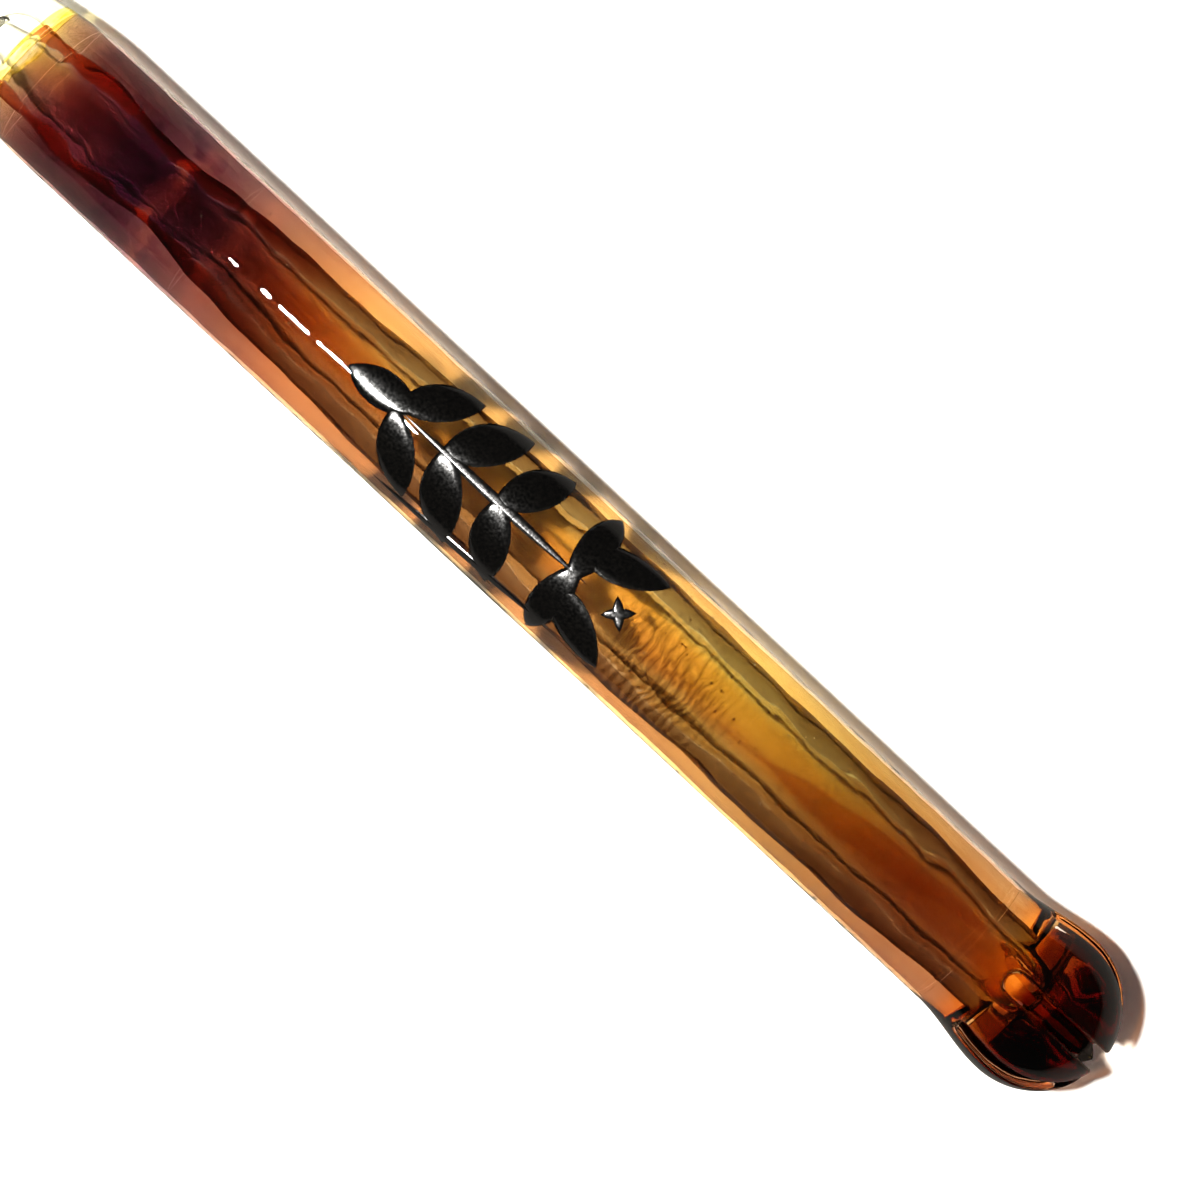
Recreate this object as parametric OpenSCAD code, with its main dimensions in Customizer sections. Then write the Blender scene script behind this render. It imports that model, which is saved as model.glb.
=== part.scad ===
// Lampworked glass dip pen, lying on its side.
// Millimetres, +Z up. X runs along the pen, with +X towards the slotted bulb and -X towards the nib.
// The origin is on the surface that the pen lies on, under the middle of its length.
// Stations along the pen are distances from the bulb's tip, and the pen's own shapes are turned
// about Z with that distance as height, then laid down by lay().

/* [Pen] */
// Whole length, from the bulb's tip to the nib's point
pen_length = 176; // [150:1:210]
// Outside diameter of the heavy-wall tube that the barrel is made from
barrel_diameter = 12.7; // [10:0.1:16]
// Largest diameter of the blown bulb
bulb_diameter = 14.6; // [12:0.1:18]
// Outside diameter of the coloured lining inside the clear casing
lining_diameter = 8.2; // [7:0.1:9]

/* [Stations from the bulb's tip] */
// Where the bulb's flare has run out into the straight tube
bulb_length = 15; // [12:0.5:20]
// Where the amber lining gives way to the dark one
amber_end = 101; // [80:1:110]
// Where the dark lining gives way to the brick red band
dark_end = 119.8; // [112:0.1:121]
// Front end of the coloured barrel, at the seam
seam_start = 122.2; // [115:0.1:130]
// Where the clear grip starts, in front of the seam
seam_end = 123; // [116:0.1:131]
// Narrowest place of the clear grip
waist_station = 131; // [128:1:136]
// Where the grip has swollen again
swell_station = 138.5; // [136:0.5:142]
// Where the grip ends and the collar starts
grip_end = 146.6; // [144:0.1:148]
// Where the collar ends and the nib starts
collar_end = 150.2; // [149:0.1:152]

/* [Bulb] */
// Width of each slot sawn through the bulb
slot_width = 1.9; // [1.4:0.1:2.4]
// How far each slot runs from the tip
slot_length = 11.6; // [9:0.1:13]
// Thickness of the clear skin over the dark glass of the bulb
skin = 0.9; // [0.5:0.1:1.4]

/* [Grip and nib] */
// Radius of the grip's waist
waist_radius = 4.9; // [4:0.1:6]
// Radius of the grip's swelling
swell_radius = 5.3; // [4:0.1:6.3]
// Radius of the collar bead
collar_radius = 4.3; // [3.5:0.1:5]
// Largest radius of the nib
nib_radius = 3.6; // [2.8:0.1:4.2]
// Radius of the rounded writing point
point_radius = 0.3; // [0.2:0.05:0.6]
// Number of ridges round the nib
ridges = 8; // [6:1:12]
// Depth of the ink grooves, as a share of the nib's radius
groove = 0.24; // [0.1:0.01:0.35]
// Turns that the ridges make along the nib
nib_turns = 0.8; // [0.3:0.1:1.5]

/* [Print] */
// Thickness of the fired black print
print_thickness = 0.08; // [0.05:0.01:0.12]

/* [Hidden] */
barrel_r = barrel_diameter / 2;
bulb_r = bulb_diameter / 2;
lining_r = lining_diameter / 2;
slim_start = 117;                 // the tube starts to narrow towards the grip
tip_x = pen_length / 2;
slot_angles = [0, 76, 149, 221, 302];   // sawn by hand, so spaced a little unevenly
bulb_back = 7.2;                  // the hollow's rounded end inside the bulb
// the hollow's radius at stations along the pen: a hand-worked wall is never quite even
hollow = [[11.5, 2.85], [22.9, 3.18], [48, 3.43], [64.7, 3.46], [81, 3.1], [96, 2.86],
          [101, 2.67], [105.4, 2.26], [109.8, 2.18], [114.2, 2.64], [119.4, 2.27], [123, 2.3]];
hollow_front = 126.6;             // the hollow's domed end inside the clear grip
steps = 24;                       // points on one eased stretch of an outline
fine = 96;                        // sides of a turned part, for previews
ring_points = 6 * ridges;         // points round the nib, six to a ridge
rings = 38;                       // sections along the nib

// an S-shaped run from a to b as t goes from 0 to 1
function ease(a, b, t) = a + (b - a) * (1 - cos(180 * t)) / 2;

// eased outline points [radius, station] from [r0, s0] to [r1, s1]
function run(r0, s0, r1, s1) = [for (i = [0:steps]) [ease(r0, r1, i / steps), s0 + (s1 - s0) * i / steps]];

// a quarter of an ellipse from the axis at station s0 out to radius r at station s1
function dome(r, s0, s1) = [for (i = [0:steps])
    [r * sin(90 * i / steps), s1 + (s0 - s1) * cos(90 * i / steps)]];

// radius of the narrowing front of the glass at station s, from the tube to the waist
function slim(s) = ease(barrel_r, waist_radius, (s - slim_start) / (waist_station - slim_start));
function slim_run(s0, s1) = [for (i = [0:8]) let (s = s0 + (s1 - s0) * i / 8) [slim(s), s]];

function reversed(list) = [for (i = [len(list) - 1:-1:0]) list[i]];

// the nib's radius without its grooves, u going from 0 at the collar to 1 at the point
swell_at = 0.2;
function nib_r(u) = u < swell_at
    ? ease(0.84 * nib_radius, nib_radius, u / swell_at)
    : point_radius + (nib_radius - point_radius) * (1 - pow((u - swell_at) / (1 - swell_at), 1.6));
function ridge(a) = 1 - groove + groove * pow(abs(cos(ridges * a / 2)), 0.8);

module lay() translate([tip_x, 0, bulb_r]) rotate([0, -90, 0]) children();

module turned(points) rotate_extrude($fn = fine) polygon(points);

module band(s0, s1, r) translate([0, 0, s0]) cylinder(r = r, h = s1 - s0, $fn = fine);

module bulb_form() turned(concat([[0, 0]], dome(bulb_r, 0, bulb_r),
    run(bulb_r, bulb_r, barrel_r, bulb_length), [[0, bulb_length]]));

module gather_form() turned(concat([[0, skin]], dome(bulb_r - skin, skin, bulb_r),
    run(bulb_r - skin, bulb_r, lining_r, bulb_length), [[0, bulb_length]]));

module hollow_form() turned(concat([[0, bulb_back]], dome(hollow[0][1], bulb_back, hollow[0][0]),
    [for (p = hollow) [p[1], p[0]]],
    reversed(dome(hollow[len(hollow) - 1][1], hollow_front, seam_end)), [[0, hollow_front]]));

// one slot: straight walls, a rounded back end and a floor that rises from the tip to the hollow
module slot(angle) rotate([0, 0, angle]) {
    back = slot_length - slot_width / 2;
    rotate([90, 0, 0]) translate([0, 0, -slot_width / 2]) linear_extrude(slot_width)
        polygon([[-0.8, -1], [bulb_r + 1, -1], [bulb_r + 1, back], [2.5, back], [2, bulb_back],
                 [0.4, 2.2], [-0.8, 1]]);
    translate([2.5, 0, back]) rotate([0, 90, 0]) cylinder(d = slot_width, h = bulb_r - 1.5, $fn = 32);
}

module slots() for (a = slot_angles) slot(a);

// the dark glass of the bulb, with the closed end of the hollow in it
module bulb_gather() {
    color([0.23, 0.08, 0.06]) lay() difference() {
        gather_form();
        hollow_form();
        slots();
    }
}

// the clear skin over the bulb
module bulb_skin() {
    color([0.85, 0.8, 0.72]) lay() difference() {
        bulb_form();
        gather_form();
        slots();
    }
}

// the clear heavy wall of the barrel, a true cylinder up to where it narrows
module barrel_casing() {
    color([0.93, 0.9, 0.82]) lay() difference() {
        turned(concat([[0, bulb_length], [barrel_r, bulb_length]],
            run(barrel_r, slim_start, barrel_r, slim_start + 0.01), slim_run(slim_start + 0.02, seam_start),
            [[0, seam_start]]));
        band(bulb_length - 1, seam_start + 1, lining_r);
    }
}

// the amber glass that lines the rear of the barrel
module amber_lining() {
    color([0.72, 0.42, 0.12]) lay() difference() {
        band(bulb_length, amber_end, lining_r);
        hollow_form();
    }
}

// the dark maroon glass that lines the front of the barrel
module dark_lining() {
    color([0.26, 0.06, 0.07]) lay() difference() {
        band(amber_end, dark_end, lining_r);
        hollow_form();
    }
}

// the brick red band between the dark lining and the seam
module red_band() {
    color([0.66, 0.25, 0.12]) lay() difference() {
        band(dark_end, seam_start, lining_r);
        hollow_form();
    }
}

// the yellow-green ring of glass that joins the barrel to the grip
module seam_ring() {
    color([0.75, 0.75, 0.25]) lay() difference() {
        turned(concat([[0, seam_start]], slim_run(seam_start, seam_end), [[0, seam_end]]));
        hollow_form();
    }
}

// the clear grip, with the domed front end of the hollow in it
module grip() {
    color([0.9, 0.94, 0.92]) lay() difference() {
        turned(concat([[0, seam_end]], slim_run(seam_end, waist_station),
            run(waist_radius, waist_station + 0.01, swell_radius, swell_station),
            run(swell_radius, swell_station + 0.01, 3.4, grip_end), [[0, grip_end]]));
        hollow_form();
    }
}

// the bead where the nib was welded on
module collar() {
    color([0.8, 0.86, 0.84]) lay() turned(concat([[0, grip_end], [3.1, grip_end]],
        [for (i = [0:16]) let (a = 180 * i / 16)
            [3.1 + (collar_radius - 3.1) * sin(a), (grip_end + collar_end) / 2 - 1.7 * cos(a)]],
        [[3.1, collar_end], [0, collar_end]]));
}

// the twisted, ridged nib: one closed shell of rings that shrink and turn towards the point
module nib() {
    nib_length = pen_length - collar_end;
    points = [for (i = [0:rings - 1]) let (u = pow(i / (rings - 1), 0.9))
        for (k = [0:ring_points - 1]) let (a = 360 * k / ring_points, r = nib_r(u) * ridge(a),
            turn = a + 360 * nib_turns * u) [r * cos(turn), r * sin(turn), nib_length * u]];
    sides = [for (i = [0:rings - 2]) for (k = [0:ring_points - 1])
        let (a = i * ring_points + k, b = i * ring_points + (k + 1) % ring_points)
        each [[a, b, b + ring_points], [a, b + ring_points, a + ring_points]]];
    color([0.78, 0.86, 0.86]) lay() translate([0, 0, collar_end]) polyhedron(points,
        concat([[for (k = [ring_points - 1:-1:0]) k]], sides,
               [[for (k = [0:ring_points - 1]) (rings - 1) * ring_points + k]]));
}

// a pointed leaf of the print, lying along X
module leaf(length, width) {
    r = (length * length + width * width) / (4 * width);
    intersection() {
        translate([0, r - width / 2]) circle(r, $fn = 180);
        translate([0, width / 2 - r]) circle(r, $fn = 180);
    }
}

// a thin pen stroke of the print, widest at its middle, lying along X
module stroke(length, width) polygon(concat(
    [for (i = [0:12]) [length * (i / 12 - 0.5), width / 2 * sin(15 * i)]],
    [for (i = [11:-1:1]) [length * (i / 12 - 0.5), -width / 2 * sin(15 * i)]]));

// flat shapes wrapped on the barrel at one station and angle; their X stays along the pen
module on_barrel(station, angle) intersection() {
    difference() {
        band(50, 90, barrel_r + print_thickness);
        band(49, 91, barrel_r);
    }
    rotate([0, 0, angle]) translate([0, 0, station]) rotate([0, 90, 0]) linear_extrude(barrel_r + 1) children();
}

// the sprig's leaves in pairs along the barrel: [station, length, width, tilt, angle round the barrel]
leaf_pairs = [[57.2, 8.6, 3.4, 24, 30], [66.8, 8, 3.6, 62, 28], [72.2, 8.8, 3.8, 55, 29],
              [77.4, 8, 3.4, 47, 27]];

module print_leaves() {
    color([0.03, 0.03, 0.03]) lay() {
        for (p = leaf_pairs, side = [-1, 1])
            on_barrel(p[0], side * p[4]) rotate(side * p[3]) leaf(p[1], p[2]);
        on_barrel(81.7, 3) rotate(8) leaf(7, 3.2);
    }
}

// the broad bar across the sprig, a pair of leaves set square to the pen
module print_bar() {
    color([0.03, 0.03, 0.03]) lay() for (side = [-1, 1])
        on_barrel(60, side * 29) rotate(90) leaf(8.2, 3.1);
}

// the stem that the leaves grow from
module print_stem() {
    color([0.03, 0.03, 0.03]) lay() on_barrel(68.8, 0) stroke(21, 1);
}

// a four-pointed star beside the bar
module print_star() {
    color([0.03, 0.03, 0.03]) lay() for (turn = [0, 90])
        on_barrel(55, 0) rotate(45 + turn) leaf(3, 1);
}

// a long thin stroke below the sprig
module print_stroke() {
    color([0.03, 0.03, 0.03]) lay() on_barrel(68, -54) rotate(3) stroke(20, 1);
}

nib();
collar();
grip();
seam_ring();
red_band();
dark_lining();
amber_lining();
barrel_casing();
bulb_skin();
bulb_gather();
print_leaves();
print_bar();
print_stem();
print_star();
print_stroke();
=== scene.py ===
"""Looks of a lampworked glass dip pen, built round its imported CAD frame.

The pen lies along X, with its slotted bulb towards +X and its nib towards -X. A station is a
distance in millimetres from the bulb's tip, and an angle is taken from the top towards +Y.
The glasses are welded, so faces where two of them meet bend no light: they are left see-through,
tinted on the coloured glass, and only faces between glass and air refract.
"""

import math

import bmesh
import bpy
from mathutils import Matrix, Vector, noise


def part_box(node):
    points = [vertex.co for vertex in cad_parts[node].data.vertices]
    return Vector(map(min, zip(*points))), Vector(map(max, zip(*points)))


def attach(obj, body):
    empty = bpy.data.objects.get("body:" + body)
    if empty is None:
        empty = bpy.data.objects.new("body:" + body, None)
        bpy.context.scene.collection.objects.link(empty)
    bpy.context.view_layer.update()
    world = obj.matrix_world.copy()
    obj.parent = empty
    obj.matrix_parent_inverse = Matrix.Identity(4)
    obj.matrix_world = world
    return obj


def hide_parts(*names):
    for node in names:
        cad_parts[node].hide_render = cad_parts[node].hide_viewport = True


bl_info = {
    "name": "Lampworked glass pen",
    "version": (1, 0, 0),
    "blender": (4, 5, 0),
    "location": "3D View > Sidebar > Glass pen",
    "description": "Builds the glasses, print and trapped seeds of a glass dip pen",
    "category": "Object",
}

MM = 0.001
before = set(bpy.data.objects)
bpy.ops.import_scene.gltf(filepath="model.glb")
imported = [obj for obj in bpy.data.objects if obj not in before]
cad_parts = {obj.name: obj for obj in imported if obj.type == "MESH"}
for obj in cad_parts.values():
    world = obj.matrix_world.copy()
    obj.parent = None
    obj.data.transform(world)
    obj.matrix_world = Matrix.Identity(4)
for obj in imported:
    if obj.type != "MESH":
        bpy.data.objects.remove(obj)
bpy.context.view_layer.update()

# ---- sizes that come from the frame, in millimetres ----
BULB_LENGTH = 15.0  # where the bulb's flare ends and the straight barrel starts
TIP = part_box("barrel_casing")[1].x / MM + BULB_LENGTH  # X of the bulb's tip
_low, _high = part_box("barrel_casing")
BARREL_R = (_high.y - _low.y) / 2 / MM
AXIS_Z = (_high.z + _low.z) / 2 / MM
LINING_R = (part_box("amber_lining")[1].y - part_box("amber_lining")[0].y) / 2 / MM
BULB_R = AXIS_Z  # the bulb rests on the ground
GLASS_IOR = 1.473  # borosilicate
TURN_BACK = 0.734  # cosine below which an inside face of it turns light back


def stations(node):
    """A node's stations nearest the bulb's tip and nearest the nib."""
    low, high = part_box(node)
    return TIP - high.x / MM, TIP - low.x / MM


AMBER_END = stations("amber_lining")[1]
DARK_END = stations("dark_lining")[1]
SEAM_START, SEAM_END = stations("seam_ring")
GRIP_END = stations("grip")[1]
COLLAR_END = stations("collar")[1]
POINT = stations("nib")[1]

# ---- sizes of the glass that the frame's boxes don't give, as in part.scad ----
SLOT_ANGLES = (0, 76, 149, 221, 302)
SLOT_WIDTH, SLOT_LENGTH = 1.9, 11.6
SKIN = 0.9  # clear glass over the bulb's dark glass
BULB_BACK, HOLLOW_FRONT = 7.2, 126.6  # closed ends of the hollow
HOLLOW = ((11.5, 2.85), (22.9, 3.18), (48, 3.43), (64.7, 3.46), (81, 3.1), (96, 2.86),
          (101, 2.67), (105.4, 2.26), (109.8, 2.18), (114.2, 2.64), (119.4, 2.27), (123, 2.3))
SLIM_START, WAIST, SWELL = 117.0, 131.0, 138.5
WAIST_R, SWELL_R, NECK_R, COLLAR_R = 4.9, 5.3, 3.4, 4.3
NIB_R, POINT_R = 3.6, 0.3
PRINT = 0.08  # thickness of the print
WELD_GAP = 0.01  # half the gap kept between two welded faces, too small to see


# ---- colour and node helpers ----
AMOUNT, COLOUR, OTHER, BLENDED = 0, 6, 7, 2  # sockets of a Mix node that blends colours
TINT = {"data_type": "RGBA", "blend_type": "MULTIPLY", "clamp_factor": True}
BLEND = {"data_type": "RGBA", "blend_type": "MIX", "clamp_factor": True}


def linear(hex_colour):
    """An sRGB hex colour as linear red, green, blue and 1."""
    values = [int(hex_colour[i:i + 2], 16) / 255 for i in (1, 3, 5)]
    return tuple(v / 12.92 if v <= 0.04045 else ((v + 0.055) / 1.055) ** 2.4 for v in values) + (1.0,)


def add(tree, kind, inputs=(), stops=(), **settings):
    """Adds a node. Inputs are in order, or by name or number, and each is a value or an output
    socket to link from. Stops are a colour ramp's places from 0 to 1 and linear colours. A kind
    in capitals is a Math node's operation, and gives its result."""
    is_math = kind.isupper()
    if is_math:
        kind, settings["operation"] = "ShaderNodeMath", kind
    made = tree.nodes.new(kind)
    for name, value in settings.items():
        setattr(made, name, value)
    for name, value in inputs.items() if isinstance(inputs, dict) else enumerate(inputs):
        if isinstance(value, bpy.types.NodeSocket):
            tree.links.new(value, made.inputs[name])
        else:
            made.inputs[name].default_value = value
    if stops:
        marks = made.color_ramp.elements
        while len(marks) < len(stops):
            marks.new(1.0)
        for mark, (place, colour) in zip(marks, stops):
            mark.position, mark.color = place, colour
    return made.outputs[0] if is_math else made


def new_material(name):
    """An empty material and its tree, with the output ready."""
    material = bpy.data.materials.new(name)
    material.use_nodes = True
    material.node_tree.nodes.clear()
    return material, material.node_tree, add(material.node_tree, "ShaderNodeOutputMaterial")


class Place:
    """Sockets for where a shaded point is on the pen."""

    def __init__(self, tree):
        self.tree = tree
        xyz = add(tree, "ShaderNodeSeparateXYZ", (add(tree, "ShaderNodeTexCoord").outputs["Object"],))
        self.station = add(tree, "MULTIPLY_ADD", (xyz.outputs["X"], -1 / MM, TIP))
        self.across = add(tree, "MULTIPLY", (xyz.outputs["Y"], 1 / MM))
        self.up = add(tree, "MULTIPLY_ADD", (xyz.outputs["Z"], 1 / MM, -AXIS_Z))

    def vector(self, along, across=1.0):
        """Millimetres from the axis, with X and the two others scaled, for a pattern."""
        return add(self.tree, "ShaderNodeCombineXYZ", {
            "X": add(self.tree, "MULTIPLY", (self.station, along)),
            "Y": add(self.tree, "MULTIPLY", (self.across, across)),
            "Z": add(self.tree, "MULTIPLY", (self.up, across))}).outputs[0]

    def clouds(self, along, across=1.0, detail=2.0, distortion=0.0):
        """Noise from 0 to 1 with the given frequencies per millimetre."""
        return add(self.tree, "ShaderNodeTexNoise", {
            "Vector": self.vector(along, across), "Scale": 1.0, "Detail": detail,
            "Distortion": distortion}).outputs[0]

    def between(self, start, end, soft):
        """1 where the station is between start and end, with soft ends."""
        rise = add(self.tree, "ShaderNodeMapRange", {
            "Value": self.station, "From Min": start - soft, "From Max": start + soft}).outputs[0]
        fall = add(self.tree, "ShaderNodeMapRange", {
            "Value": self.station, "From Min": end - soft, "From Max": end + soft,
            "To Min": 1.0, "To Max": 0.0}).outputs[0]
        return add(self.tree, "MULTIPLY", (rise, fall))


def glass_face(tree, output, colour, normal=None, ior=GLASS_IOR, shade=None, rim=None):
    """A face between glass and air. A lamp's light passes it straight, tinted by shade where
    that is given, and by rim where it meets the face at a slant and would be bent away."""
    shader = add(tree, "ShaderNodeBsdfGlass", {"Color": colour, "Roughness": 0.0, "IOR": ior})
    if normal is not None:
        tree.links.new(normal, shader.inputs["Normal"])
    passed = colour if shade is None else shade
    if rim is not None:
        slant = add(tree, "ShaderNodeLayerWeight", {"Blend": 0.5}).outputs["Facing"]
        bent = add(tree, "ShaderNodeMapRange", {
            "Value": slant, "From Min": 0.2, "From Max": 0.55}).outputs[0]
        passed = add(tree, "ShaderNodeMix", {
            AMOUNT: bent, COLOUR: passed, OTHER: rim}, **BLEND).outputs[BLENDED]
    clear = add(tree, "ShaderNodeBsdfTransparent", {"Color": passed})
    shadow = add(tree, "ShaderNodeLightPath").outputs["Is Shadow Ray"]
    both = add(tree, "ShaderNodeMixShader", {0: shadow, 1: shader.outputs[0], 2: clear.outputs[0]})
    tree.links.new(both.outputs[0], output.inputs["Surface"])


def see_through(tree, output, colour):
    """A face that bends no light and only tints it."""
    clear = add(tree, "ShaderNodeBsdfTransparent", {"Color": colour})
    tree.links.new(clear.outputs[0], output.inputs["Surface"])


def slanted(tree, place, colour):
    """The tint of the bore's wall for light inside the glass: deeper the more it is crossed at a
    slant, and deeper again where the hollow turns the light back, most of all in the dark glass."""
    facing = add(tree, "ShaderNodeLayerWeight", {"Blend": 0.5}).outputs["Facing"]
    cosine = add(tree, "SUBTRACT", (1.0, facing))
    turned_back = add(tree, "LESS_THAN", (cosine, TURN_BACK))
    dark = place.between(97.0, 124.0, 7.0)
    extra = add(tree, "MULTIPLY", (turned_back, add(tree, "MULTIPLY_ADD", (dark, 0.4, 0.1))))
    crossings = add(tree, "DIVIDE", (add(tree, "ADD", (extra, 1.0)), add(tree, "MAXIMUM", (cosine, 0.55))))
    inside = add(tree, "ShaderNodeNewGeometry").outputs["Backfacing"]
    from_air = add(tree, "MULTIPLY_ADD", (add(tree, "POWER", (facing, 2.0)), 1.4, 1.0))
    gamma = add(tree, "MULTIPLY_ADD", (inside, add(tree, "SUBTRACT", (crossings, from_air)), from_air))
    # light that turns back has also crossed the wall's struck skin along its length
    skin = add(tree, "ShaderNodeMix", {
        AMOUNT: dark, COLOUR: linear("#CBC2BC"), OTHER: linear("#F7C0A8")}, **BLEND).outputs[BLENDED]
    colour = add(tree, "ShaderNodeMix", {
        AMOUNT: add(tree, "MULTIPLY", (inside, turned_back)), COLOUR: colour,
        OTHER: skin}, **TINT).outputs[BLENDED]
    return add(tree, "ShaderNodeGamma", {"Color": colour, "Gamma": gamma}).outputs[0]


# ---- materials ----
def polished_borosilicate(settings):
    """Clear borosilicate tube, flame polished: bright and smooth, with faint pulls along it
    and the odd fleck of dust."""
    material, tree, output = new_material("flame_polished_borosilicate")
    place = Place(tree)
    pulls = place.clouds(0.12, 0.5, detail=2.0)
    flecks = add(tree, "ShaderNodeTexVoronoi", {
        "Vector": place.vector(0.55), "Scale": 1.0}, feature="F1").outputs["Distance"]
    fleck = add(tree, "LESS_THAN", (flecks, 0.045))
    swells = place.clouds(0.24, 0.05, detail=1.0)  # slow swells that break up a lamp's reflection
    height = add(tree, "MULTIPLY_ADD", (fleck, 0.35, add(tree, "MULTIPLY_ADD", (swells, 11.0, pulls))))
    normal = add(tree, "ShaderNodeBump", {
        "Strength": 1.0, "Distance": settings.pull_height, "Height": height}).outputs[0]
    # the solid clear end spreads the lamp's light, so the ground under it is greyer
    solid = add(tree, "ShaderNodeMapRange", {
        "Value": place.station, "From Min": 120.5, "From Max": 124.0}).outputs[0]
    colour = tuple(settings.clear_colour) + (1.0,)
    shade = add(tree, "ShaderNodeMix", {
        AMOUNT: solid, COLOUR: colour, OTHER: linear("#BABAB4")}, **TINT).outputs[BLENDED]
    rim = add(tree, "ShaderNodeMix", {
        AMOUNT: solid, COLOUR: linear("#553418"), OTHER: linear("#6C6C68")}, **BLEND).outputs[BLENDED]
    glass_face(tree, output, colour, normal, shade=shade, rim=rim)
    return material


def welded_face(_settings):
    """The inside face where two clear glasses are welded: nothing to see."""
    material, tree, output = new_material("welded_clear_glass")
    see_through(tree, output, (1.0, 1.0, 1.0, 1.0))
    return material


LINING_STOPS = (  # tint of one crossing of the colour layer, by station
    (0.0, "#C07078"), (6.0, "#C07078"),  # dense maroon of the bulb
    (8.0, "#ECD8A4"), (11.0, "#ECD8A4"),  # thin amber at the slots' ends
    (14.0, "#DCD8C8"), (32.0, "#D8D8C0"),  # amber
    (48.0, "#E0DCC8"), (88.0, "#E0DCC8"),  # golden amber
    (99.0, "#D0C8BC"), (110.0, "#A89898"),  # brown, then maroon
    (118.0, "#A09090"), (122.0, "#D4D0C4"),  # thin again at the seam
)
BORE_STOPS = (  # tint of one crossing of the bore's wall, where the colour is thickest
    (7.0, "#D0B88C"), (11.0, "#D0B88C"),  # thin amber at the slots' ends
    (14.0, "#C4A07C"), (22.0, "#C09C7C"),  # brown amber
    (45.0, "#E8DCB0"), (56.0, "#F0E0BC"),  # golden, palest under the print
    (80.0, "#DCC8A8"), (92.0, "#C8A080"),
    (100.0, "#A07480"), (110.0, "#B07CA8"),  # maroon with a purple cast
    (117.0, "#F0BCC0"), (121.0, "#FCF4DC"),
)


def tint_along(tree, place, stops):
    """The colour of the glass along the pen, with hand-worked, uneven borders."""
    wander = add(tree, "MULTIPLY_ADD", (place.clouds(0.16, 0.22, detail=3.0), 5.0, -2.5))
    station = add(tree, "ADD", (place.station, wander))
    length = stops[-1][0]
    return add(tree, "ShaderNodeValToRGB", (add(tree, "DIVIDE", (station, length)),),
               stops=[(s / length, linear(c)) for s, c in stops]).outputs[0]


def colour_layer(settings):
    """Struck colour glass sealed in the wall: amber that turns to maroon where it was reduced."""
    material, tree, output = new_material("struck_amber_maroon_glass")
    place = Place(tree)
    colour = tint_along(tree, place, LINING_STOPS)
    # long folds of thicker colour, drawn out along the tube
    folds = place.clouds(0.05, 0.55, detail=3.0, distortion=0.6)
    fold = add(tree, "ShaderNodeMapRange", {
        "Value": folds, "From Min": 0.42, "From Max": 0.7}).outputs[0]
    colour = add(tree, "ShaderNodeMix", {
        AMOUNT: add(tree, "MULTIPLY", (fold, settings.folds)), COLOUR: colour,
        OTHER: linear("#DDB8A0")}, **TINT).outputs[BLENDED]
    # painted shade: the colour is made pinker and a little deeper round the flank at -Y, the side that
    # shows darker under the lamp
    low = add(tree, "ShaderNodeMapRange", {
        "Value": place.across, "From Min": 3.0, "From Max": -5.0}).outputs[0]
    colour = add(tree, "ShaderNodeMix", {
        AMOUNT: low, COLOUR: colour, OTHER: linear("#EAD8E3")}, **TINT).outputs[BLENDED]
    # blue-purple patches of reduced metal in the dark part
    blots = add(tree, "GREATER_THAN", (place.clouds(0.3, 0.5, detail=1.0), 0.56))
    patch = add(tree, "MULTIPLY", (place.between(103.0, 118.0, 1.5), blots))
    colour = add(tree, "ShaderNodeMix", {
        AMOUNT: add(tree, "MULTIPLY", (patch, 0.5)), COLOUR: colour,
        OTHER: linear("#C9A8D2")}, **TINT).outputs[BLENDED]
    # the bulb's dense glass lets hardly any lamp light through to the ground
    shadow = add(tree, "ShaderNodeLightPath").outputs["Is Shadow Ray"]
    dense = add(tree, "MULTIPLY", (shadow, place.between(-2.0, 8.4, 0.6)))
    colour = add(tree, "ShaderNodeMix", {
        AMOUNT: dense, COLOUR: colour, OTHER: linear("#6A564C")}, **TINT).outputs[BLENDED]
    see_through(tree, output, colour)
    return material


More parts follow.
